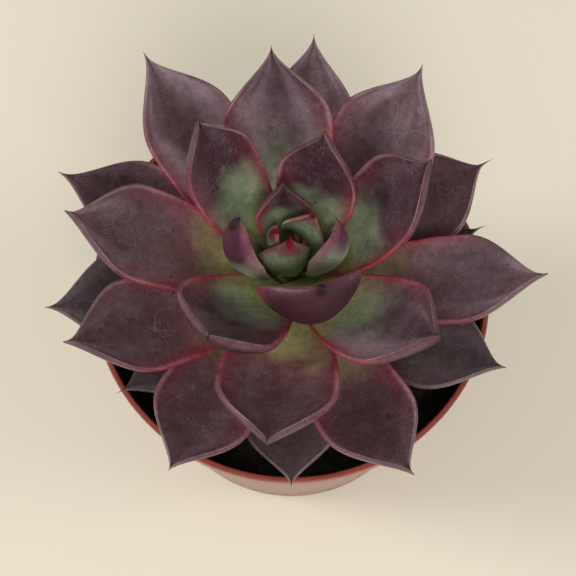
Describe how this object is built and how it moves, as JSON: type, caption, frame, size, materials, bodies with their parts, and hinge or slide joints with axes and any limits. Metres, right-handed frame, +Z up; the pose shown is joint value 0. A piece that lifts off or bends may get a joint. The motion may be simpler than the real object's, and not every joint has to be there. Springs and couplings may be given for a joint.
{
  "type": "potted echeveria",
  "caption": "Rosette succulent with cupped pointed leaves on a short stem, planted in soil in a round tapered plastic pot.",
  "frame": {"origin": "middle of the pot's underside", "axes": "+Z up along the pot's axis; +X to the right and +Y away as the picture is seen, from the front and steeply above"},
  "size_m": [0.1214, 0.1113, 0.146],
  "materials": {
    "pot": "moulded terracotta-coloured plastic, glossy",
    "soil": "moist peaty potting soil, near black and rough",
    "stem": "green-brown bark, dull",
    "bud_leaf": "waxy green leaf with a dark red tip",
    "inner_leaf": "waxy purple-brown leaf, green at its base, pink-red margin",
    "outer_leaf": "waxy dark purple-brown leaf with a pink-red margin",
    "lowest_leaf": "greyish dark purple leaf, duller"
  },
  "bodies": {
    "root": {"pot": "pot", "soil": "soil", "stem": "stem", "leaf_01": "bud_leaf", "leaf_02": "bud_leaf", "leaf_03": "bud_leaf", "leaf_04": "bud_leaf", "leaf_05": "bud_leaf", "leaf_06": "bud_leaf", "leaf_07": "bud_leaf", "leaf_08": "bud_leaf", "leaf_09": "inner_leaf", "leaf_10": "inner_leaf", "leaf_11": "inner_leaf", "leaf_12": "inner_leaf", "leaf_13": "inner_leaf", "leaf_14": "inner_leaf", "leaf_15": "inner_leaf", "leaf_16": "outer_leaf", "leaf_17": "outer_leaf", "leaf_18": "outer_leaf", "leaf_19": "outer_leaf", "leaf_20": "outer_leaf", "leaf_21": "outer_leaf", "leaf_22": "outer_leaf", "leaf_23": "outer_leaf", "leaf_24": "outer_leaf", "leaf_25": "outer_leaf", "leaf_26": "outer_leaf", "leaf_27": "lowest_leaf", "leaf_28": "lowest_leaf", "leaf_29": "lowest_leaf", "leaf_30": "lowest_leaf", "leaf_31": "lowest_leaf", "leaf_32": "lowest_leaf", "leaf_33": "lowest_leaf", "leaf_34": "lowest_leaf"}
  },
  "joints": []
}
